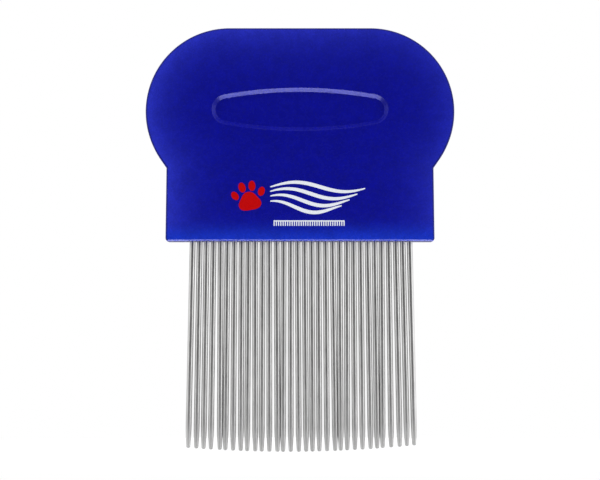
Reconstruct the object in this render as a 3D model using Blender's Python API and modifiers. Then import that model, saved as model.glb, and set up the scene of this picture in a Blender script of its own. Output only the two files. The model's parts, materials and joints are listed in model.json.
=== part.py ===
"""Flea comb: a lobed plastic handle with one row of round steel pins moulded into its underside.

Metres, +Z up with the pins pointing down, +X across the comb, and the front face towards -Y.
The origin is the middle of the finger grip, halfway through the handle's thickness.
"""
from math import atan2, cos, pi, radians, sin, tan

import bmesh
import bpy
from mathutils import Matrix, Vector

MM = 0.001

# Handle outline. Heights count up from the middle of the grip.
OVERALL_WIDTH = 75.0 * MM
LOBE_RADIUS = 20.35 * MM
LOBE_HEIGHT = -0.5 * MM
LOBE_LOWEST_ANGLE = radians(-35)
LOBE_STEPS = 22
GRIP_HEIGHT = 32.0 * MM
BODY_WIDTH_TOP = 64.8 * MM
BODY_WIDTH_BOTTOM = 65.2 * MM
THICKNESS = 7.0 * MM
EDGE_RADIUS = 0.5 * MM
EDGE_STEPS = 3
EDGE_SHARPNESS = radians(50)

# Finger recess, the same in both faces: an oval of four arcs with a sloping wall.
GRIP_LENGTH = 43.0 * MM
GRIP_WIDTH = 10.6 * MM
GRIP_END_RADIUS = 3.7 * MM
GRIP_WALL = 0.85 * MM
GRIP_DEPTH = 0.85 * MM
GRIP_END_STEPS = 8
GRIP_SIDE_STEPS = 10

# Pins, all alike. The row is a little wider at the tips than where it leaves the handle,
# and sits a little to the right of the handle's middle.
PIN_COUNT = 32
PIN_RADIUS = 0.67 * MM
PIN_LENGTH = 63.1 * MM
PIN_SIDES = 12
ROOT_SPAN = 52.8 * MM
ROOT_OFFSET = 0.3 * MM
TIP_SPAN = 54.6 * MM
TIP_OFFSET = 0.4 * MM
MIDDLE_REACH = 51.0 * MM
END_PIN_RISE = 1.2 * MM
LEFT_PIN_DROP = 0.3 * MM

# A pin's free end narrows in a long curve to a small round tip.
TAPER_LENGTH = 6.0 * MM
TAPER_STEPS = 3
TIP_RADIUS = 0.48 * MM
TIP_STEPS = 2

# The groove near a pin's buried end, and the play between a pin and the plastic around it.
GROOVE_FROM_END = 2.5 * MM
GROOVE_LENGTH = 1.4 * MM
GROOVE_DEPTH = 0.18 * MM
BORE_PLAY = 0.06 * MM

# Pins that stand out of line: the pin's number, and how far its tip is off to the right.
OUT_OF_LINE = {
    1: -0.2 * MM,
    5: 0.4 * MM,
    7: 0.1 * MM,
    8: 0.2 * MM,
    10: 0.2 * MM,
    12: 0.1 * MM,
    13: 0.3 * MM,
    14: -0.1 * MM,
    16: 0.2 * MM,
    17: 0.2 * MM,
    19: -0.1 * MM,
    21: 0.2 * MM,
    22: -0.2 * MM,
    23: -0.4 * MM,
    24: -0.3 * MM,
    25: -0.2 * MM,
    27: -0.2 * MM,
    28: -0.6 * MM,
    29: -0.3 * MM,
}

UNDERSIDE = -GRIP_HEIGHT
LOBE_CENTRE = OVERALL_WIDTH / 2 - LOBE_RADIUS
WELD = 0.00001
FLAT = radians(0.5)

BLUE_PLASTIC = (0.006, 0.008, 0.30, 1.0)
POLISHED_STEEL = (0.62, 0.62, 0.61, 1.0)


def clear_scene():
    for old in list(bpy.data.objects):
        bpy.data.objects.remove(old)


def new_collection(name):
    collection = bpy.data.collections.new(name)
    bpy.context.scene.collection.children.link(collection)
    return collection


def principled(name, colour, roughness, metallic):
    material = bpy.data.materials.new(name)
    material.use_nodes = True
    material.diffuse_color = colour
    shader = material.node_tree.nodes["Principled BSDF"]
    shader.inputs["Base Color"].default_value = colour
    shader.inputs["Roughness"].default_value = roughness
    shader.inputs["Metallic"].default_value = metallic
    return material


def new_object(name, mesh, collection):
    piece = bpy.data.objects.new(name, mesh)
    collection.objects.link(piece)
    return piece


def set_as_cutter(piece):
    piece.hide_render = True
    piece.display_type = "WIRE"


def add_cut(piece, name):
    """A Boolean cut on the piece, which still needs its cutter."""
    cut = piece.modifiers.new(name, "BOOLEAN")
    cut.operation = "DIFFERENCE"
    cut.solver = "EXACT"
    return cut


def arc(centre_x, centre_z, radius, start, end, steps):
    """Points along an arc in the XZ plane, both ends included."""
    points = []
    for step in range(steps + 1):
        angle = start + (end - start) * step / steps
        points.append((centre_x + radius * cos(angle), centre_z + radius * sin(angle)))
    return points


def notch_height():
    """Where the straight run below a lobe meets the side of the lower body."""
    run_start = LOBE_CENTRE + LOBE_RADIUS * cos(LOBE_LOWEST_ANGLE)
    drop = (run_start - BODY_WIDTH_TOP / 2) / tan(-LOBE_LOWEST_ANGLE)
    return LOBE_HEIGHT + LOBE_RADIUS * sin(LOBE_LOWEST_ANGLE) - drop


def handle_outline():
    """Anticlockwise from the right bottom corner; the left half mirrors the right one."""
    right = [(BODY_WIDTH_BOTTOM / 2, UNDERSIDE), (BODY_WIDTH_TOP / 2, notch_height())]
    right += arc(LOBE_CENTRE, LOBE_HEIGHT, LOBE_RADIUS, LOBE_LOWEST_ANGLE, pi / 2, LOBE_STEPS)
    left = [(-x, z) for x, z in reversed(right)]
    return right + left


def plate_mesh(name, outline, thickness):
    """A flat plate with this outline in the XZ plane, centred on Y = 0."""
    curve = bpy.data.curves.new(name + "_outline", "CURVE")
    curve.dimensions = "2D"
    curve.fill_mode = "BOTH"
    curve.extrude = thickness / 2
    spline = curve.splines.new("POLY")
    spline.points.add(len(outline) - 1)
    for point, (x, z) in zip(spline.points, outline):
        point.co = (x, z, 0.0, 1.0)
    spline.use_cyclic_u = True
    guide = new_object(name + "_outline", curve, bpy.context.scene.collection)
    guide.rotation_euler = (pi / 2, 0.0, 0.0)
    bpy.context.view_layer.update()
    evaluated = guide.evaluated_get(bpy.context.evaluated_depsgraph_get())
    mesh = bpy.data.meshes.new_from_object(evaluated)
    mesh.transform(guide.matrix_world)
    mesh.name = name
    bpy.data.objects.remove(guide)
    plate = bmesh.new()
    plate.from_mesh(mesh)
    bmesh.ops.remove_doubles(plate, verts=plate.verts, dist=WELD)
    bmesh.ops.dissolve_limit(plate, angle_limit=FLAT, verts=plate.verts, edges=plate.edges)
    bmesh.ops.recalc_face_normals(plate, faces=plate.faces)
    plate.to_mesh(mesh)
    plate.free()
    return mesh


def grip_outline(inset):
    """The recess's oval drawn in by the inset: two long arcs, joined by an arc at each end."""
    half_width = GRIP_WIDTH / 2
    end_centre = GRIP_LENGTH / 2 - GRIP_END_RADIUS
    spare = end_centre**2 + half_width**2 - GRIP_END_RADIUS**2
    side_radius = spare / (2 * (half_width - GRIP_END_RADIUS))
    side_centre = half_width - side_radius
    join = atan2(-side_centre, end_centre)
    end = arc(end_centre, 0.0, GRIP_END_RADIUS - inset, -join, join, GRIP_END_STEPS)
    side = arc(0.0, side_centre, side_radius - inset, join, pi - join, GRIP_SIDE_STEPS)
    half = end + side[1:-1]
    return half + [(-x, -z) for x, z in half]


def grip_plug_mesh(name, side):
    """A tapered plug that stands proud of one face; side is -1 for the front, 1 for the back."""
    face = side * THICKNESS / 2
    plug = bmesh.new()
    rings = []
    for height, inset in ((GRIP_DEPTH, -GRIP_WALL), (-GRIP_DEPTH, GRIP_WALL)):
        y = face + side * height
        rings.append([plug.verts.new((x, y, z)) for x, z in grip_outline(inset)])
    for ring in rings:
        plug.faces.new(ring)
    outer, inner = rings
    for i in range(len(outer)):
        plug.faces.new((outer[i - 1], outer[i], inner[i], inner[i - 1]))
    bmesh.ops.recalc_face_normals(plug, faces=plug.faces)
    mesh = bpy.data.meshes.new(name)
    plug.to_mesh(mesh)
    plug.free()
    return mesh


def pin_share(index):
    """Place in the row, from -1 at the left pin to 1 at the right pin."""
    return 2 * index / (PIN_COUNT - 1) - 1


def pin_placement(index):
    """The pin's frame: origin at its tip, +Z along the pin, up into the handle."""
    share = pin_share(index)
    reach = MIDDLE_REACH - END_PIN_RISE * share**2 - LEFT_PIN_DROP * share
    root = Vector((ROOT_OFFSET + share * ROOT_SPAN / 2, 0.0, UNDERSIDE))
    tip_x = TIP_OFFSET + share * TIP_SPAN / 2 + OUT_OF_LINE.get(index + 1, 0.0)
    tip = Vector((tip_x, 0.0, UNDERSIDE - reach))
    lean = (root - tip).to_track_quat("Z", "Y").to_matrix().to_4x4()
    return Matrix.Translation(tip) @ lean


def taper_radius(height):
    """A pin's radius at this height above its tip, within the taper."""
    return TIP_RADIUS + (PIN_RADIUS - TIP_RADIUS) * sin(pi / 2 * height / TAPER_LENGTH)


def tip_profile():
    """Radius and height from the top of the taper down to the point of the tip."""
    profile = []
    for step in range(TAPER_STEPS):
        height = TAPER_LENGTH + (TIP_RADIUS - TAPER_LENGTH) * step / TAPER_STEPS
        profile.append((taper_radius(height), height))
    start = taper_radius(TIP_RADIUS)
    for step in range(TIP_STEPS + 1):
        angle = pi / 2 * step / TIP_STEPS
        profile.append((start * cos(angle), TIP_RADIUS * (1 - sin(angle))))
    return profile


def shank_profile(play):
    """Radius and height from the buried end down to the groove's lower edge."""
    radius = PIN_RADIUS + play
    end = PIN_LENGTH + play
    groove_top = PIN_LENGTH - GROOVE_FROM_END
    groove_floor = radius - GROOVE_DEPTH
    flank = GROOVE_DEPTH
    return [
        (0.0, end),
        (radius, end),
        (radius, groove_top),
        (groove_floor, groove_top - flank),
        (groove_floor, groove_top - GROOVE_LENGTH + flank),
        (radius, groove_top - GROOVE_LENGTH),
    ]


def add_screw(piece):
    """Turn the profile in the piece's mesh about the piece's Z axis."""
    screw = piece.modifiers.new("turn", "SCREW")
    screw.angle = 2 * pi
    screw.steps = PIN_SIDES
    screw.render_steps = PIN_SIDES
    screw.use_merge_vertices = True
    screw.merge_threshold = WELD
    screw.use_smooth_shade = True


def turned_row(name, profile, collection):
    """One turned object for each pin's place, all sharing the profile's mesh."""
    points = [(radius, 0.0, height) for radius, height in profile]
    edges = [(i, i + 1) for i in range(len(points) - 1)]
    mesh = bpy.data.meshes.new(name + "_profile")
    mesh.from_pydata(points, edges, [])
    row = []
    for index in range(PIN_COUNT):
        piece = new_object(f"{name}_{index + 1:02d}", mesh, collection)
        add_screw(piece)
        piece.matrix_world = pin_placement(index)
        row.append(piece)
    return row


def make_pins(collection, steel):
    row = turned_row("pin", shank_profile(0.0) + tip_profile(), collection)
    row[0].data.materials.append(steel)


def make_bores(collection):
    """Blind bores, each with a ridge that fills its pin's groove, running out below the handle."""
    below = MIDDLE_REACH - 2 * END_PIN_RISE
    profile = shank_profile(BORE_PLAY) + [(PIN_RADIUS + BORE_PLAY, below), (0.0, below)]
    for bore in turned_row("bore", profile, collection):
        set_as_cutter(bore)


def make_handle(collection, cutters, plastic):
    handle = new_object("handle", plate_mesh("handle", handle_outline(), THICKNESS), collection)
    handle.data.materials.append(plastic)
    bevel = handle.modifiers.new("edges", "BEVEL")
    bevel.width = EDGE_RADIUS
    bevel.segments = EDGE_STEPS
    bevel.limit_method = "ANGLE"
    bevel.angle_limit = EDGE_SHARPNESS
    for side_name, side in (("front", -1), ("back", 1)):
        plug = new_object(f"{side_name}_recess", grip_plug_mesh(side_name, side), cutters)
        set_as_cutter(plug)
        add_cut(handle, plug.name).object = plug
    return handle


def drill_handle(handle, bores):
    drill = add_cut(handle, "bores")
    drill.operand_type = "COLLECTION"
    drill.collection = bores


def main():
    clear_scene()
    comb = new_collection("flea_comb")
    cutters = new_collection("cutters")
    bores = new_collection("bores")
    plastic = principled("blue_plastic", BLUE_PLASTIC, roughness=0.35, metallic=0.0)
    steel = principled("polished_steel", POLISHED_STEEL, roughness=0.25, metallic=1.0)
    handle = make_handle(comb, cutters, plastic)
    make_bores(bores)
    drill_handle(handle, bores)
    make_pins(comb, steel)


main()
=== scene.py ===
"""Looks of the flea comb: a translucent blue handle with a pad print, and a row of drawn steel pins."""
import json
from math import atan2, cos, hypot, pi, radians, sin, tan

import bmesh
import bpy
import numpy as np
from mathutils import Matrix, Vector
from mathutils.geometry import delaunay_2d_cdt

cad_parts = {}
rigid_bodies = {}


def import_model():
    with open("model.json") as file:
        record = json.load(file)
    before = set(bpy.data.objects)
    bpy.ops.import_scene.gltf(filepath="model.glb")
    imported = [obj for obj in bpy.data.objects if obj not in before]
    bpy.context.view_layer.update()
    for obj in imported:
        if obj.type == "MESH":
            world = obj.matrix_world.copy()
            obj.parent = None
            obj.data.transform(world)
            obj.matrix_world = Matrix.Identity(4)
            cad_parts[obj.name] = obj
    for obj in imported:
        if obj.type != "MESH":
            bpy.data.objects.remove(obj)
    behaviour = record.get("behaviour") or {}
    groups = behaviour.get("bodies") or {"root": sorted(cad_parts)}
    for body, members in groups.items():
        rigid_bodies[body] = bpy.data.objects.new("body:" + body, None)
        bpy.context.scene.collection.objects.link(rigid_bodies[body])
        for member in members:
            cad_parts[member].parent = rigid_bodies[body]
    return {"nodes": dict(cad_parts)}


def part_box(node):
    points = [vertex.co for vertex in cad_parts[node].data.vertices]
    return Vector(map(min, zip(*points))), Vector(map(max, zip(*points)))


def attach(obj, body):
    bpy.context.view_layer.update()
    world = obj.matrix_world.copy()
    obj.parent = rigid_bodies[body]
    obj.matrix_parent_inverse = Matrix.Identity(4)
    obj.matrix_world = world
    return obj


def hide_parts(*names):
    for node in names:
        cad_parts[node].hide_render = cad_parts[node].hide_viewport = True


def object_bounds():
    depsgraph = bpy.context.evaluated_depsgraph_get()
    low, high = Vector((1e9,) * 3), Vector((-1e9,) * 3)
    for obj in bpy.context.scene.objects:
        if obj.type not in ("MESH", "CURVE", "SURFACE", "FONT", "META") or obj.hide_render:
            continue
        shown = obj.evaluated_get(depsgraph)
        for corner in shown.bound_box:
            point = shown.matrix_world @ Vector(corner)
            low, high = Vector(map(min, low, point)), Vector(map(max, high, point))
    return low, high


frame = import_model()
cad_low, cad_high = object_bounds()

MM = 0.001

# Handle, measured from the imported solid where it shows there.
handle_low, handle_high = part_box("handle")
UNDERSIDE = handle_low.z
THICKNESS = handle_high.y - handle_low.y
LOBE_RADIUS = 20.35 * MM
LOBE_HEIGHT = handle_high.z - LOBE_RADIUS
LOBE_CENTRE = handle_high.x - LOBE_RADIUS
LOBE_LOWEST_ANGLE = radians(-35)
BODY_HALF_TOP = 32.4 * MM
BODY_HALF_BOTTOM = 32.6 * MM
EDGE_RADIUS = 0.5 * MM
CORNER_RADIUS = 0.7 * MM
SEAM_HEIGHT = 0.04 * MM
SEAM_HALF_WIDTH = 0.12 * MM
EDGE_STEPS = 8

# Steps along each stretch of the handle's outline.
UNDERSIDE_STEPS = 40
CORNER_STEPS = 8
SIDE_STEPS = 16
RUN_STEPS = 6
LOBE_STEPS = 72
TOP_STEPS = 20

# Finger recess in both faces: an oval of two end arcs and two side arcs, with a sloping wall.
GRIP_HALF_LENGTH = 21.5 * MM
GRIP_HALF_WIDTH = 5.3 * MM
GRIP_END_RADIUS = 3.7 * MM
GRIP_DEPTH = 0.85 * MM
GRIP_WALL = 1.0 * MM
GRIP_EASE = 0.12
GRIP_END_STEPS = 16
GRIP_SIDE_STEPS = 60

# Mesh of the two faces: rings from just outside the recess's wall to just inside, a staggered grid elsewhere.
FACE_RINGS = 12
FACE_RING_MARGIN = 0.15 * MM
FACE_GRID = 0.9 * MM
FACE_GRID_GAP = 0.7 * MM
# How the points are cut into triangles: only inside the rim, and points nearer than this are merged.
INSIDE_RIM_ONLY = 1
FACE_MERGE_IN_MM = 1e-5
WELD = 0.002 * MM
SHARP_FROM = radians(28)

# Light that the plastic lets through: how far it reaches in from the rim and up from the underside, and how
# much stronger it is at the left end, and weaker at the right.
RIM_REACH = 4.2 * MM
UNDERSIDE_REACH = 3.0 * MM
RIM_LEFT_GAIN = 0.30
# The rounded edge: the share of its depth by which it is dark, and how much colour and shine it loses.
EDGE_DARK_FROM = 0.05
EDGE_LOSS = 0.60
# The recess's wall: the angle round its ends below which no light comes through, how quickly its look
# sets in from rim and foot, and the share of its shine that it loses.
WALL_LIGHT_END = radians(50)
WALL_RISE = 2.2
WALL_LOSS = 0.38

# Pins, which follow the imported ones, and the bores that hold them.
PIN_END_RING = 0.1 * MM
PIN_TAPER = 6.0 * MM
PIN_TIP_RADIUS = 0.48 * MM
PIN_SIDES = 32
PIN_TAPER_STEPS = 12
PIN_TIP_STEPS = 8
GROOVE_FROM_END = 2.5 * MM
GROOVE_LENGTH = 1.4 * MM
GROOVE_DEPTH = 0.18 * MM
TIP_GRIND = 7.0 * MM
BORE_PLAY = 0.03 * MM
BORE_LEAD = 1.0 * MM

# Print on the front face: a red paw, white strands that flow away from it, and a small white comb.
INK_THICKNESS = 0.03 * MM
OVAL_STEPS = 64
PAW_CENTRE = (-12.3 * MM, -22.0 * MM)
PAW_TILT = radians(10)
PAD_RADIUS = 2.35 * MM
PAD_DROP = 0.55 * MM
PAD_WIDTH_GAIN = 1.12
PAD_HEIGHT_GAIN = 0.95
PAD_CORNER_GAIN = 0.12
# Each toe on the right side: its place from the paw's centre, half its width and height, and its tilt.
PAW_TOES = (
    (1.22 * MM, 3.20 * MM, 0.85 * MM, 1.25 * MM, radians(8)),
    (3.25 * MM, 1.50 * MM, 0.80 * MM, 1.15 * MM, radians(28)),
)
STRAND_COUNT = 4
STRAND_STEPS = 72
STRAND_START = (-7.2 * MM, -18.9 * MM)
STRAND_LENGTH = 23.0 * MM
STRAND_SHORTER = 1.9 * MM
# A strand's width follows a half wave, which starts and ends this share in and is raised to this power.
STRAND_WIDTH = 0.90 * MM
STRAND_END = 0.04
STRAND_FULLNESS = 0.6
# A strand makes nearly one wave, a little ahead of the strand above it, and the gap to that one widens.
STRAND_SWELL = 1.15 * MM
STRAND_WAVES = 0.95
STRAND_LEAD = 0.06
STRAND_GAP = 1.50 * MM
STRAND_SPREAD = 0.30 * MM
COMB_LEFT = -6.4 * MM
COMB_RIGHT = 10.8 * MM
COMB_BAR_BOTTOM = -27.3 * MM
COMB_BAR_HEIGHT = 0.28 * MM
TOOTH_COUNT = 32
TOOTH_WIDTH = 0.26 * MM
TOOTH_LENGTH = 1.05 * MM

# Noise textures: nearly all their values lie between these two.
NOISE_LOW = 0.3
NOISE_HIGH = 0.7

# Plastic: deep blue, and the colours of the light that comes through it.
DEEP_BLUE = (0.0010, 0.0030, 0.455, 1.0)
RIM_BLUE = (0.030, 0.045, 0.82, 1.0)
UNDER_BLUE = (0.008, 0.050, 0.88, 1.0)
WALL_BLUE = (0.030, 0.045, 0.86, 1.0)
PLASTIC_MOTTLE = (0.90, 1.10)
PLASTIC_ROUGHNESS = (0.24, 0.30)
PLASTIC_SHINE = 0.5
PLASTIC_IOR = 1.46

# Ink: the noise's values up to PINHOLE_TOP thin its cover a little. The white is given a painted glow that
# makes it lighter.
INK_RED = (0.90, 0.003, 0.004, 1.0)
INK_WHITE = (0.90, 0.94, 1.0, 1.0)
PAINTED_INK_GLOW = 0.32
INK_COVER = (0.90, 1.04)
PINHOLE_TOP = 0.6
INK_ROUGHNESS = (0.35, 0.50)
INK_SHINE = 0.12

# Steel: drawn streaks over a patchy grey, and ground tips that are duller, with painted light that makes them
# lighter.
STEEL = (1.0, 0.998, 0.992, 1.0)
STEEL_GREY = (0.60, 0.72)
STEEL_STREAKS = (-0.05, 0.05)
STEEL_ROUGHNESS = (0.24, 0.36)
TIP_PAINTED_LIGHT = 0.24
TIP_DULLER = 0.15

# Floor: how much it glows to the camera and to the object.
FLOOR_RADIUS = 130 * MM
FLOOR_SIDES = 96
FLOOR_GREY = (0.55, 0.55, 0.55, 1.0)
FLOOR_ROUGHNESS = 0.9
FLOOR_SEEN = 0.72
FLOOR_LIGHT = 0.15

# World: light on the object by how far forward a direction points, from 1 straight in front to -1 behind.
WHITE = (1.0, 1.0, 1.0, 1.0)
WORLD_LIGHT = (
    (-1.0, 0.84), (-0.3, 0.94), (0.1, 1.20), (0.5, 1.55), (0.72, 0.70), (0.86, 0.17), (1.0, 0.07)
)
WORLD_RIGHT_GAIN = 0.15
WORLD_TOP_LOSS = 0.35
# Below the horizon it falls to this share between these two heights of a direction.
WORLD_BELOW = 0.35
WORLD_BELOW_FROM = -0.12
WORLD_BELOW_TO = -0.40

# Soft light on the floor, from under the comb to in front of it, which only the handle's gloss shows.
LOW_LIGHT_WIDTH = 92 * MM
LOW_LIGHT_DEPTH = 110 * MM
LOW_LIGHT_PLACE = -15 * MM
LOW_LIGHT_HEIGHT = 1.0 * MM
LOW_LIGHT_RADIANCE = 5.5

# Camera: a long lens, a little below the level of the comb's middle and looking slightly up.
LENS = 150.0
SENSOR = 36.0
VIEW_WIDTH = 146.1 * MM
VIEW_ELEVATION = radians(-3.0)
VIEW_CENTRE = Vector((0.0, 0.0, -31.6 * MM))
NEAREST_SEEN = 0.01
FARTHEST_SEEN = 10.0


def eased(share):
    """Depth share across the recess's wall: rounded at the rim and at the foot, straight between."""
    ramp = GRIP_EASE
    if share < ramp:
        return share**2 / (2 * ramp * (1 - ramp))
    if share > 1 - ramp:
        return 1 - (1 - share) ** 2 / (2 * ramp * (1 - ramp))
    return (share - ramp / 2) / (1 - ramp)


def arc(centre_x, centre_z, radius, start, end, steps):
    """Points along an arc in the XZ plane, both ends included."""
    points = []
    for step in range(steps + 1):
        angle = start + (end - start) * step / steps
        points.append((centre_x + radius * cos(angle), centre_z + radius * sin(angle)))
    return points


def line(start, end, steps):
    """Points between two ends, which are left out."""
    shares = [step / steps for step in range(1, steps)]
    return [(start[0] + (end[0] - start[0]) * s, start[1] + (end[1] - start[1]) * s) for s in shares]


def side_x(z):
    """Half the width of the lower body at a height: it widens slightly towards the pins."""
    top = notch_z(0.0)
    share = (z - top) / (UNDERSIDE - top)
    return BODY_HALF_TOP + (BODY_HALF_BOTTOM - BODY_HALF_TOP) * share


def notch_z(inset):
    """Height where the straight run below the lobe meets the body's side, both drawn in."""
    radius = LOBE_RADIUS - inset
    run_x = LOBE_CENTRE + radius * cos(LOBE_LOWEST_ANGLE)
    run_z = LOBE_HEIGHT + radius * sin(LOBE_LOWEST_ANGLE)
    return run_z - (run_x - (BODY_HALF_TOP - inset)) / tan(-LOBE_LOWEST_ANGLE)


def outline(inset):
    """The handle's outline drawn in by the inset, anticlockwise from the middle of the underside."""
    corner_x = BODY_HALF_BOTTOM - CORNER_RADIUS
    corner_z = UNDERSIDE + CORNER_RADIUS
    corner = arc(corner_x, corner_z, CORNER_RADIUS - inset, -pi / 2, 0.0, CORNER_STEPS)
    notch = (BODY_HALF_TOP - inset, notch_z(inset))
    radius = LOBE_RADIUS - inset
    lobe = arc(LOBE_CENTRE, LOBE_HEIGHT, radius, LOBE_LOWEST_ANGLE, pi / 2, LOBE_STEPS)
    top = (0.0, LOBE_HEIGHT + radius)
    right = line((0.0, UNDERSIDE + inset), corner[0], UNDERSIDE_STEPS)
    right += corner
    right += line(corner[-1], notch, SIDE_STEPS)
    right += [notch]
    right += line(notch, lobe[0], RUN_STEPS)
    right += lobe
    right += line(lobe[-1], top, TOP_STEPS)
    left = [(-x, z) for x, z in reversed(right)]
    return [(0.0, UNDERSIDE + inset)] + right + [top] + left


def grip_arcs():
    """Centres of the oval's end arc and side arc, the side arc's radius, and the angle where they join.

    The end arc's circle lies inside the side arc's and touches it at the join.
    """
    end_centre = GRIP_HALF_LENGTH - GRIP_END_RADIUS
    spare = end_centre**2 + GRIP_HALF_WIDTH**2 - GRIP_END_RADIUS**2
    side_radius = spare / (2 * (GRIP_HALF_WIDTH - GRIP_END_RADIUS))
    side_centre = GRIP_HALF_WIDTH - side_radius
    return end_centre, side_centre, side_radius, atan2(-side_centre, end_centre)


def grip_outline(inset):
    """The recess's oval drawn in by the inset."""
    end_centre, side_centre, side_radius, join = grip_arcs()
    end = arc(end_centre, 0.0, GRIP_END_RADIUS - inset, -join, join, GRIP_END_STEPS)
    side = arc(0.0, side_centre, side_radius - inset, join, pi - join, GRIP_SIDE_STEPS)
    half = end + side[1:-1]
    return half + [(-x, -z) for x, z in half]


def grip_inset(x, z):
    """How far a point lies inside the recess's oval; negative outside it."""
    end_centre, side_centre, side_radius, join = grip_arcs()
    x, z = abs(x), abs(z)
    if atan2(z, x - end_centre) < join:
        return GRIP_END_RADIUS - hypot(x - end_centre, z)
    return side_radius - hypot(x, z - side_centre)


def distance_to(path, points):
    """How far each (x, z) point lies from an open path."""
    start = np.array(path[:-1])
    run = np.array(path[1:]) - start
    points = np.array(points)[:, None, :]
    share = ((points - start) * run).sum(2) / (run * run).sum(1)
    nearest = start + np.clip(share, 0.0, 1.0)[:, :, None] * run
    return np.sqrt(((points - nearest) ** 2).sum(2)).min(1)


def face_depth(x, z):
    """How far the front or back face lies below its flat part."""
    return GRIP_DEPTH * eased(min(max(grip_inset(x, z) / GRIP_WALL, 0.0), 1.0))


def face_points():
    """Points of one face in the XZ plane, the rim's first, and how many of them are the rim's."""
    rim = outline(EDGE_RADIUS)
    points = list(rim)
    first_ring, last_ring = -FACE_RING_MARGIN, GRIP_WALL + FACE_RING_MARGIN
    for ring in range(FACE_RINGS + 1):
        points += grip_outline(first_ring + (last_ring - first_ring) * ring / FACE_RINGS)
    grid = []
    row_gap = FACE_GRID * sin(pi / 3)
    columns = int(handle_high.x / FACE_GRID) + 1
    for row in range(int(UNDERSIDE / row_gap), int(handle_high.z / row_gap) + 1):
        for column in range(-columns, columns + 1):
            x, z = (column + (row % 2) / 2) * FACE_GRID, row * row_gap
            if not first_ring - FACE_GRID_GAP < grip_inset(x, z) < last_ring + FACE_GRID_GAP:
                grid.append((x, z))
    corners = rim + rim[:1]
    gaps = distance_to(corners, grid)
    for (x, z), gap in zip(grid, gaps):
        if gap > FACE_GRID_GAP and in_outline(x, z):
            points.append((x, z))
    return points, len(rim)


def in_outline(x, z):
    """Whether a point lies in the outline: in the lobes, between the slanting runs or in the body."""
    x = abs(x)
    notch = notch_z(0.0)
    if z > LOBE_HEIGHT + LOBE_RADIUS * sin(LOBE_LOWEST_ANGLE):
        return hypot(max(x - LOBE_CENTRE, 0.0), z - LOBE_HEIGHT) < LOBE_RADIUS
    if z > notch:
        return (x - BODY_HALF_TOP) * cos(LOBE_LOWEST_ANGLE) < (notch - z) * sin(LOBE_LOWEST_ANGLE)
    return z > UNDERSIDE and x < side_x(z)


def face_triangles():
    """The face cut into triangles: the points' places in the XZ plane, and three corners for each."""
    points, rim_count = face_points()
    in_mm = [Vector((x / MM, z / MM)) for x, z in points]
    rim = list(range(rim_count))
    placed, _, triangles, *_ = delaunay_2d_cdt(in_mm, [], [rim], INSIDE_RIM_ONLY, FACE_MERGE_IN_MM)
    return [(p.x * MM, p.y * MM) for p in placed], triangles


def edge_rows():
    """Inset and place across the thickness of each row round the edge, front to back."""
    flat = THICKNESS / 2 - EDGE_RADIUS
    fillet = []
    for step in range(EDGE_STEPS + 1):
        angle = pi / 2 * step / EDGE_STEPS
        fillet.append((EDGE_RADIUS * (1 - sin(angle)), -flat - EDGE_RADIUS * cos(angle)))
    fillet.append((0.0, EDGE_RADIUS - flat))
    seam = [(0.0, -SEAM_HALF_WIDTH), (-SEAM_HEIGHT, 0.0), (0.0, SEAM_HALF_WIDTH)]
    return fillet + seam + [(inset, -y) for inset, y in reversed(fillet)]


def handle_mesh():
    """The handle's closed skin: two recessed faces joined by the rounded edge with its parting seam."""
    shell = bmesh.new()
    places, triangles = face_triangles()
    for side in (-1, 1):
        verts = [shell.verts.new((x, side * (THICKNESS / 2 - face_depth(x, z)), z)) for x, z in places]
        for triangle in triangles:
            shell.faces.new([verts[i] for i in triangle])
    rows = []
    for inset, y in edge_rows():
        rows.append([shell.verts.new((x, y, z)) for x, z in outline(inset)])
    for front, back in zip(rows, rows[1:]):
        for i in range(len(front)):
            shell.faces.new((front[i - 1], front[i], back[i], back[i - 1]))
    bmesh.ops.remove_doubles(shell, verts=shell.verts, dist=WELD)
    bmesh.ops.recalc_face_normals(shell, faces=shell.faces)
    mesh = bpy.data.meshes.new("handle_shell")
    shell.to_mesh(mesh)
    shell.free()
    return mesh


def new_piece(name, mesh, material):
    """An object of this mesh in the scene, with this material alone."""
    piece = bpy.data.objects.new(name, mesh)
    bpy.context.scene.collection.objects.link(piece)
    mesh.materials.clear()
    mesh.materials.append(material)
    return piece


def turned_mesh(name, profile, sides):
    """A closed solid turned about Z from (radius, height) pairs, both ends on the axis."""
    solid = bmesh.new()
    rings = []
    for radius, height in profile[1:-1]:
        ring = []
        for side in range(sides):
            angle = 2 * pi * side / sides
            ring.append(solid.verts.new((radius * cos(angle), radius * sin(angle), height)))
        rings.append(ring)
    low = solid.verts.new((0.0, 0.0, profile[0][1]))
    high = solid.verts.new((0.0, 0.0, profile[-1][1]))
    for i in range(sides):
        solid.faces.new((low, rings[0][i], rings[0][i - 1]))
        solid.faces.new((high, rings[-1][i - 1], rings[-1][i]))
        for lower, upper in zip(rings, rings[1:]):
            solid.faces.new((lower[i - 1], lower[i], upper[i], upper[i - 1]))
    bmesh.ops.recalc_face_normals(solid, faces=solid.faces)
    mesh = bpy.data.meshes.new(name)
    solid.to_mesh(mesh)
    solid.free()
    return mesh


def pin_axis(node):
    """Tip, buried end and radius of a packed pin."""
    corners = [vertex.co.copy() for vertex in frame["nodes"][node].data.vertices]
    tip = min(corners, key=lambda corner: corner.z)
    top = max(corner.z for corner in corners)
    end_ring = [corner for corner in corners if corner.z > top - PIN_END_RING]
    end = sum(end_ring, Vector()) / len(end_ring)
    radius = max((corner - end).length for corner in end_ring)
    return tip, end, radius


def pin_frame(tip, end):
    """Where a pin modelled upright from the origin goes."""
    return Matrix.Translation(tip) @ (end - tip).to_track_quat("Z", "Y").to_matrix().to_4x4()


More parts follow.
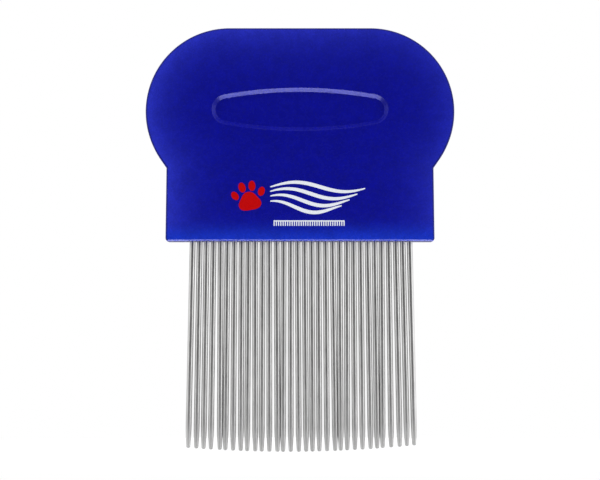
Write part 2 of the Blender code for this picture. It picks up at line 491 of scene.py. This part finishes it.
def pin_profile(radius, length):
    """Radius and height from the point of the tip up to the buried end."""
    profile = []
    start = PIN_TIP_RADIUS + (radius - PIN_TIP_RADIUS) * sin(pi / 2 * PIN_TIP_RADIUS / PIN_TAPER)
    for step in range(PIN_TIP_STEPS + 1):
        angle = pi / 2 * step / PIN_TIP_STEPS
        profile.append((start * sin(angle), PIN_TIP_RADIUS * (1 - cos(angle))))
    for step in range(1, PIN_TAPER_STEPS + 1):
        height = PIN_TIP_RADIUS + (PIN_TAPER - PIN_TIP_RADIUS) * step / PIN_TAPER_STEPS
        bulge = sin(pi / 2 * height / PIN_TAPER)
        profile.append((PIN_TIP_RADIUS + (radius - PIN_TIP_RADIUS) * bulge, height))
    groove_top = length - GROOVE_FROM_END
    floor = radius - GROOVE_DEPTH
    profile += [
        (radius, groove_top - GROOVE_LENGTH),
        (floor, groove_top - GROOVE_LENGTH + GROOVE_DEPTH),
        (floor, groove_top - GROOVE_DEPTH),
        (radius, groove_top),
        (radius, length),
        (0.0, length),
    ]
    return profile


def smooth(mesh):
    """Smooth shading, except across sharp edges."""
    mesh.shade_smooth()
    mesh.set_sharp_from_angle(angle=SHARP_FROM)


def pin_nodes():
    """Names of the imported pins, from left to right."""
    return sorted(name for name in frame["nodes"] if name.startswith("pin_"))


def make_pins(steel):
    """A finer pin in place of each packed one, with its share of tip stored on its points, for the duller
    ground finish and the painted light there.
    """
    for node in pin_nodes():
        tip, end, radius = pin_axis(node)
        mesh = turned_mesh(node + "_steel", pin_profile(radius, (end - tip).length), PIN_SIDES)
        heights = np.array([vertex.co.z for vertex in mesh.vertices])
        set_attribute(mesh, "tip_share", np.clip(1 - heights / TIP_GRIND, 0.0, 1.0))
        mesh.transform(pin_frame(tip, end))
        smooth(mesh)
        pin = new_piece(node + "_steel", mesh, steel)
        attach(pin, "root")
        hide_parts(node)


def bore_cutters():
    """Plain round cutters for the holes that the pins sit in, in a collection of their own."""
    cutters = bpy.data.collections.new("bores")
    for node in pin_nodes():
        tip, end, radius = pin_axis(node)
        mouth = UNDERSIDE - tip.z - BORE_LEAD
        wide = radius + BORE_PLAY
        deep = (end - tip).length + BORE_PLAY
        profile = [(0.0, mouth), (wide, mouth), (wide, deep), (0.0, deep)]
        mesh = turned_mesh("bore", profile, PIN_SIDES)
        mesh.transform(pin_frame(tip, end))
        cutters.objects.link(bpy.data.objects.new("bore", mesh))
    return cutters


def drilled(mesh):
    """The mesh with the pins' bores cut into it."""
    cutters = bore_cutters()
    blank = bpy.data.objects.new("blank", mesh)
    bpy.context.scene.collection.objects.link(blank)
    drill = blank.modifiers.new("bores", "BOOLEAN")
    drill.operand_type = "COLLECTION"
    drill.collection = cutters
    drill.solver = "EXACT"
    bpy.context.view_layer.update()
    result = bpy.data.meshes.new_from_object(blank.evaluated_get(bpy.context.evaluated_depsgraph_get()))
    for helper in [blank, *cutters.objects]:
        bpy.data.objects.remove(helper)
    bpy.data.collections.remove(cutters)
    return result


def on_wall(x, z):
    """1 on the slope of the recess's wall, falling to 0 at its rim and its foot."""
    share = grip_inset(x, z) / GRIP_WALL
    return min(WALL_RISE * sin(pi * min(max(share, 0.0), 1.0)), 1.0)


def wall_light(x, z):
    """Share of light that comes through the recess's wall at a point: none below its middle."""
    if z <= 0.0:
        return 0.0
    end_centre, _, _, join = grip_arcs()
    turn = atan2(z, abs(x) - end_centre)
    along = min(max((turn - WALL_LIGHT_END) / (join - WALL_LIGHT_END), 0.0), 1.0)
    return along * on_wall(x, z)


def set_attribute(mesh, name, values):
    """Store a value for each point of the mesh, for its material to read."""
    attribute = mesh.attributes.new(name, "FLOAT", "POINT")
    attribute.data.foreach_set("value", np.asarray(values, np.float32))


def shade_handle(mesh):
    """Store where light comes through the plastic, and where its edge is dark."""
    places = [(vertex.co.x, vertex.co.z) for vertex in mesh.vertices]
    across, heights = np.array(places).T
    rim = [(x, z) for x, z in outline(0.0) if z > UNDERSIDE + EDGE_RADIUS]
    from_rim = distance_to(rim, places)
    left_gain = 1 - RIM_LEFT_GAIN * across / handle_high.x
    set_attribute(mesh, "rim_light", np.exp(-from_rim / RIM_REACH) * left_gain)
    above = np.maximum(heights - UNDERSIDE, 0.0)
    set_attribute(mesh, "under_light", np.exp(-((above / UNDERSIDE_REACH) ** 2)))
    set_attribute(mesh, "on_wall", [on_wall(x, z) for x, z in places])
    set_attribute(mesh, "wall_light", [wall_light(x, z) for x, z in places])
    depths = THICKNESS / 2 - np.abs([vertex.co.y for vertex in mesh.vertices])
    dark = np.clip(depths / (EDGE_DARK_FROM * EDGE_RADIUS), 0.0, 1.0)
    fade = np.clip(2 - depths / EDGE_RADIUS, 0.0, 1.0)
    on_edge = from_rim < EDGE_RADIUS
    on_underside = (heights < UNDERSIDE + WELD) & (depths > EDGE_RADIUS / 2)
    set_attribute(mesh, "edge_shade", np.where(on_underside, 1.0, dark * fade * on_edge))


def make_handle(plastic):
    """The handle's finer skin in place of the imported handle."""
    mesh = drilled(handle_mesh())
    smooth(mesh)
    shade_handle(mesh)
    handle = new_piece("handle_shell", mesh, plastic)
    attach(handle, "root")
    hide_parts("handle")
    return handle


def add_prism(shape, ring):
    """A thin closed prism of ink on the front face, from its outline in the XZ plane."""
    back, front = -THICKNESS / 2, -THICKNESS / 2 - INK_THICKNESS
    low = [shape.verts.new((x, back, z)) for x, z in ring]
    high = [shape.verts.new((x, front, z)) for x, z in ring]
    shape.faces.new(low)
    shape.faces.new(high)
    for i in range(len(ring)):
        shape.faces.new((low[i - 1], low[i], high[i], high[i - 1]))


def print_piece(name, rings, material):
    """One printed piece on the front face, from its closed outlines."""
    shape = bmesh.new()
    for ring in rings:
        add_prism(shape, ring)
    bmesh.ops.recalc_face_normals(shape, faces=shape.faces)
    mesh = bpy.data.meshes.new(name)
    shape.to_mesh(mesh)
    shape.free()
    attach(new_piece(name, mesh, material), "root")


def turned_about(points, centre, angle):
    """Points drawn round the origin, turned anticlockwise and moved to the centre."""
    turned = []
    for x, z in points:
        right = x * cos(angle) - z * sin(angle)
        up = x * sin(angle) + z * cos(angle)
        turned.append((centre[0] + right, centre[1] + up))
    return turned


def oval(centre, half_width, half_height, tilt):
    """Outline of an oval."""
    ring = []
    for step in range(OVAL_STEPS):
        angle = 2 * pi * step / OVAL_STEPS
        ring.append((half_width * cos(angle), half_height * sin(angle)))
    return turned_about(ring, centre, tilt)


def paw_rings():
    """A generic paw mark: one rounded three-cornered pad and four toes."""
    pad = []
    for step in range(OVAL_STEPS):
        angle = 2 * pi * step / OVAL_STEPS
        radius = PAD_RADIUS * (1 + PAD_CORNER_GAIN * cos(3 * (angle - pi / 2)))
        x, z = PAD_WIDTH_GAIN * radius * cos(angle), PAD_HEIGHT_GAIN * radius * sin(angle)
        pad.append((x, z - PAD_DROP))
    rings = [pad]
    for side in (-1, 1):
        for x, z, half_width, half_height, tilt in PAW_TOES:
            rings.append(oval((side * x, z), half_width, half_height, -side * tilt))
    return [turned_about(ring, PAW_CENTRE, PAW_TILT) for ring in rings]


def ribbon(path, widths):
    """Outline of a stroke with these widths along its path."""
    left, right = [], []
    for i, (x, z) in enumerate(path):
        before, after = path[max(i - 1, 0)], path[min(i + 1, len(path) - 1)]
        run = Vector((after[0] - before[0], after[1] - before[1])).normalized()
        left.append((x - run.y * widths[i] / 2, z + run.x * widths[i] / 2))
        right.append((x + run.y * widths[i] / 2, z - run.x * widths[i] / 2))
    return left + right[::-1]


def strand_rings():
    """Combed strands that flow away from the paw, each thin at its ends and full between."""
    rings = []
    for strand in range(STRAND_COUNT):
        path, widths = [], []
        length = STRAND_LENGTH - strand * STRAND_SHORTER
        for step in range(STRAND_STEPS + 1):
            share = step / STRAND_STEPS
            swell = STRAND_SWELL * sin(2 * pi * (STRAND_WAVES * share + STRAND_LEAD * strand))
            fall = (STRAND_GAP + STRAND_SPREAD * share) * strand
            path.append((STRAND_START[0] + length * share, STRAND_START[1] + swell - fall))
            along = STRAND_END + (1 - 2 * STRAND_END) * share
            widths.append(STRAND_WIDTH * sin(pi * along) ** STRAND_FULLNESS)
        rings.append(ribbon(path, widths))
    return rings


def comb_ring():
    """Outline of a small comb below the strands: a bar with a row of fine teeth."""
    root, point = COMB_BAR_BOTTOM, COMB_BAR_BOTTOM - TOOTH_LENGTH
    teeth = []
    for tooth in reversed(range(TOOTH_COUNT)):
        left = COMB_LEFT + (COMB_RIGHT - COMB_LEFT - TOOTH_WIDTH) * tooth / (TOOTH_COUNT - 1)
        right = left + TOOTH_WIDTH
        teeth += [(right, root), (right, point), (left, point), (left, root)]
    bar_top = root + COMB_BAR_HEIGHT
    return [(COMB_LEFT, bar_top), (COMB_RIGHT, bar_top)] + teeth[1:-1]


def make_print(red, white):
    """The generic mark on the front face, in place of any lettering."""
    print_piece("paw_print", paw_rings(), red)
    print_piece("strand_print", strand_rings(), white)
    print_piece("comb_print", [comb_ring()], white)


class Nodes:
    """Short calls for building a material's node tree."""

    def __init__(self, owner):
        self.owner = owner
        self.owner.use_nodes = True
        self.tree = self.owner.node_tree
        self.shader = self.tree.nodes.get("Principled BSDF")

    def add(self, kind, **values):
        """A node with its properties and unlinked inputs set; a linked input is given as a socket."""
        node = self.tree.nodes.new(kind)
        for key, value in values.items():
            if key in node.inputs:
                self.feed(node.inputs[key], value)
            else:
                setattr(node, key, value)
        return node

    def feed(self, socket, value):
        """Link an output to the socket, or set the socket's own value."""
        if isinstance(value, bpy.types.NodeSocket):
            self.tree.links.new(value, socket)
        else:
            socket.default_value = value

    def attribute(self, name):
        return self.add("ShaderNodeAttribute", attribute_name=name).outputs["Fac"]

    def noise(self, feature, detail=2.0, scale=(1.0, 1.0, 1.0)):
        """Noise whose features have about this size in metres, divided along each axis by the scale."""
        here = self.add("ShaderNodeTexCoord").outputs["Object"]
        places = self.add("ShaderNodeMapping", Vector=here, Scale=scale).outputs["Vector"]
        node = self.add("ShaderNodeTexNoise", Vector=places, Scale=1 / feature, Detail=detail)
        return node.outputs["Fac"]

    def spread(self, value, low, high, from_low=0.0, from_high=1.0):
        """The value carried from one range to another."""
        node = self.add("ShaderNodeMapRange", Value=value)
        node.inputs["From Min"].default_value = from_low
        node.inputs["From Max"].default_value = from_high
        node.inputs["To Min"].default_value = low
        node.inputs["To Max"].default_value = high
        return node.outputs["Result"]

    def vary(self, noise, limits, noise_high=NOISE_HIGH):
        """Noise carried to between these two limits."""
        return self.spread(noise, *limits, NOISE_LOW, noise_high)

    def sum(self, first, second):
        return self.math("ADD", first, second)

    def product(self, first, second):
        return self.math("MULTIPLY", first, second)

    def math(self, operation, first, second):
        node = self.add("ShaderNodeMath", operation=operation)
        self.feed(node.inputs[0], first)
        self.feed(node.inputs[1], second)
        return node.outputs["Value"]

    def mix(self, share, first, second, blend="MIX"):
        """Two colours mixed; the colour sockets of this node are found by their place."""
        node = self.add("ShaderNodeMix", data_type="RGBA", blend_type=blend)
        self.feed(node.inputs[0], share)
        self.feed(node.inputs[6], first)
        self.feed(node.inputs[7], second)
        return node.outputs[2]

    def shaded(self, colour, level):
        """The colour times a level."""
        return self.mix(1.0, colour, level, blend="MULTIPLY")

    def bump(self, height, distance, normal=None):
        node = self.add("ShaderNodeBump", Height=height, Distance=distance, Strength=1.0)
        if normal is not None:
            self.feed(node.inputs["Normal"], normal)
        return node.outputs["Normal"]


def blue_plastic():
    """Tinted plastic, lighter where light comes through: at rim, underside and the recess's upper wall."""
    nodes = Nodes(bpy.data.materials.new("blue_plastic"))
    colour = nodes.mix(nodes.attribute("rim_light"), DEEP_BLUE, RIM_BLUE)
    colour = nodes.mix(nodes.attribute("under_light"), colour, UNDER_BLUE)
    colour = nodes.mix(nodes.attribute("wall_light"), colour, WALL_BLUE)
    clouds = nodes.vary(nodes.noise(2.6 * MM, detail=3.0), PLASTIC_MOTTLE)
    grain = nodes.vary(nodes.noise(0.45 * MM), PLASTIC_MOTTLE)
    edge = nodes.spread(nodes.attribute("edge_shade"), 1.0, 1 - EDGE_LOSS)
    colour = nodes.shaded(colour, nodes.product(nodes.product(clouds, grain), edge))
    waves = nodes.bump(nodes.noise(9.0 * MM, detail=1.0), 0.05 * MM)
    fine = nodes.bump(nodes.noise(0.30 * MM, detail=3.0), 0.012 * MM, normal=waves)
    wall = nodes.spread(nodes.attribute("on_wall"), PLASTIC_SHINE, PLASTIC_SHINE * (1 - WALL_LOSS))
    sockets = nodes.shader.inputs
    nodes.feed(sockets["Base Color"], colour)
    nodes.feed(sockets["Roughness"], nodes.vary(nodes.noise(1.2 * MM), PLASTIC_ROUGHNESS))
    nodes.feed(sockets["Normal"], fine)
    nodes.feed(sockets["Specular IOR Level"], nodes.product(edge, wall))
    sockets["IOR"].default_value = PLASTIC_IOR
    return nodes.owner


def ink(name, colour, painted_glow=0.0):
    """Printed ink: nearly even colour with faint pinholes, a faint gloss, and a painted glow that makes it
    lighter.
    """
    nodes = Nodes(bpy.data.materials.new(name))
    cover = nodes.vary(nodes.noise(0.35 * MM, detail=3.0), INK_COVER, PINHOLE_TOP)
    sockets = nodes.shader.inputs
    nodes.feed(sockets["Base Color"], nodes.shaded(colour, cover))
    nodes.feed(sockets["Roughness"], nodes.vary(nodes.noise(0.8 * MM), INK_ROUGHNESS))
    sockets["Specular IOR Level"].default_value = INK_SHINE
    # Painted light: the emission is a glow that makes the ink lighter, though the ink is no lamp.
    sockets["Emission Color"].default_value = colour
    sockets["Emission Strength"].default_value = painted_glow
    return nodes.owner


def pin_steel():
    """Drawn wire: faint streaks along its length, and ground tips that are duller, with painted light that
    makes them lighter.
    """
    nodes = Nodes(bpy.data.materials.new("pin_steel"))
    streaks = nodes.noise(0.12 * MM, detail=3.0, scale=(1.0, 1.0, 0.03))
    patches = nodes.noise(3.0 * MM, scale=(2.0, 2.0, 0.5))
    tip = nodes.attribute("tip_share")
    grey = nodes.sum(nodes.vary(streaks, STEEL_STREAKS), nodes.vary(patches, STEEL_GREY))
    # Painted light: the grey is raised towards the tips, which makes them lighter.
    grey = nodes.sum(grey, nodes.product(tip, TIP_PAINTED_LIGHT))
    roughness = nodes.sum(nodes.vary(streaks, STEEL_ROUGHNESS), nodes.product(tip, TIP_DULLER))
    sockets = nodes.shader.inputs
    nodes.feed(sockets["Base Color"], nodes.shaded(STEEL, grey))
    nodes.feed(sockets["Roughness"], roughness)
    nodes.feed(sockets["Normal"], nodes.bump(streaks, 0.004 * MM))
    sockets["Metallic"].default_value = 1.0
    return nodes.owner


def camera_ray(nodes):
    """1 for what the camera sees directly, 0 for light that reaches the object."""
    return nodes.add("ShaderNodeLightPath").outputs["Is Camera Ray"]


def floor_white():
    """Matt floor that looks white, and lights the object less than it looks."""
    nodes = Nodes(bpy.data.materials.new("floor_white"))
    sockets = nodes.shader.inputs
    sockets["Base Color"].default_value = FLOOR_GREY
    sockets["Roughness"].default_value = FLOOR_ROUGHNESS
    sockets["Specular IOR Level"].default_value = 0.0
    sockets["Emission Color"].default_value = WHITE
    glow = nodes.spread(camera_ray(nodes), FLOOR_LIGHT, FLOOR_SEEN)
    nodes.feed(sockets["Emission Strength"], glow)
    return nodes.owner


def make_floor():
    """A round pale floor at the height of the lowest pin's tip."""
    disc = bmesh.new()
    bmesh.ops.create_circle(disc, cap_ends=True, segments=FLOOR_SIDES, radius=FLOOR_RADIUS)
    mesh = bpy.data.meshes.new("floor")
    disc.to_mesh(mesh)
    disc.free()
    floor = new_piece("floor", mesh, floor_white())
    floor.location = (0.0, 0.0, cad_low.z)


def studio_world():
    """White to the camera. To the object: dark straight in front, brightest round that, softer behind."""
    nodes = Nodes(bpy.data.worlds.new("studio"))
    bpy.context.scene.world = nodes.owner
    nodes.tree.nodes.clear()
    direction = nodes.add("ShaderNodeSeparateXYZ")
    nodes.feed(direction.inputs[0], nodes.add("ShaderNodeTexCoord").outputs["Generated"])
    right, back, up = direction.outputs
    ramp = nodes.add("ShaderNodeValToRGB")
    nodes.feed(ramp.inputs["Fac"], nodes.spread(back, 1.0, 0.0, -1.0, 1.0))
    stops = ramp.color_ramp.elements
    for _ in WORLD_LIGHT[len(stops):]:
        stops.new(1.0)
    for stop, (forward, level) in zip(stops, WORLD_LIGHT):
        stop.position = (forward + 1) / 2
        stop.color = (level, level, level, 1.0)
    sides = nodes.spread(right, 1 - WORLD_RIGHT_GAIN, 1 + WORLD_RIGHT_GAIN, -1.0, 1.0)
    above = nodes.spread(up, 1.0, 1 - WORLD_TOP_LOSS, 0.0, 1.0)
    below = nodes.spread(up, WORLD_BELOW, 1.0, WORLD_BELOW_TO, WORLD_BELOW_FROM)
    level = nodes.product(ramp.outputs["Color"], nodes.product(sides, nodes.product(above, below)))
    lit = nodes.add("ShaderNodeBackground", Color=WHITE, Strength=level)
    seen = nodes.add("ShaderNodeBackground", Color=WHITE, Strength=1.0)
    choose = nodes.add("ShaderNodeMixShader", Fac=camera_ray(nodes))
    nodes.feed(choose.inputs[1], lit.outputs[0])
    nodes.feed(choose.inputs[2], seen.outputs[0])
    output = nodes.add("ShaderNodeOutputWorld")
    nodes.feed(output.inputs["Surface"], choose.outputs[0])


def make_low_light(lit):
    """A soft light lying on the floor, below and in front, whose reflection only this piece shows."""
    light = bpy.data.lights.new("low_light", "AREA")
    light.shape = "RECTANGLE"
    light.size = LOW_LIGHT_WIDTH
    light.size_y = LOW_LIGHT_DEPTH
    light.energy = LOW_LIGHT_RADIANCE * LOW_LIGHT_WIDTH * LOW_LIGHT_DEPTH * pi
    lamp = bpy.data.objects.new("low_light", light)
    bpy.context.scene.collection.objects.link(lamp)
    lamp.location = (0.0, LOW_LIGHT_PLACE, cad_low.z + LOW_LIGHT_HEIGHT)
    lamp.rotation_euler = (pi, 0.0, 0.0)
    lamp.visible_camera = False
    lamp.visible_diffuse = False
    receivers = bpy.data.collections.new("lit_from_below")
    receivers.objects.link(lit)
    lamp.light_linking.receiver_collection = receivers


def make_camera():
    """A camera that sees VIEW_WIDTH across at the view's centre."""
    data = bpy.data.cameras.new("camera")
    data.lens = LENS
    data.sensor_width = SENSOR
    data.clip_start = NEAREST_SEEN
    data.clip_end = FARTHEST_SEEN
    camera = bpy.data.objects.new("camera", data)
    bpy.context.scene.collection.objects.link(camera)
    away = Vector((0.0, -cos(VIEW_ELEVATION), sin(VIEW_ELEVATION)))
    camera.location = VIEW_CENTRE + away * (VIEW_WIDTH * LENS / SENSOR)
    camera.rotation_euler = (-away).to_track_quat("-Z", "Y").to_euler()
    bpy.context.scene.camera = camera
    bpy.context.scene.view_settings.view_transform = "Standard"


handle = make_handle(blue_plastic())
make_pins(pin_steel())
make_print(ink("red_ink", INK_RED), ink("white_ink", INK_WHITE, PAINTED_INK_GLOW))
make_floor()
studio_world()
make_low_light(handle)
make_camera()
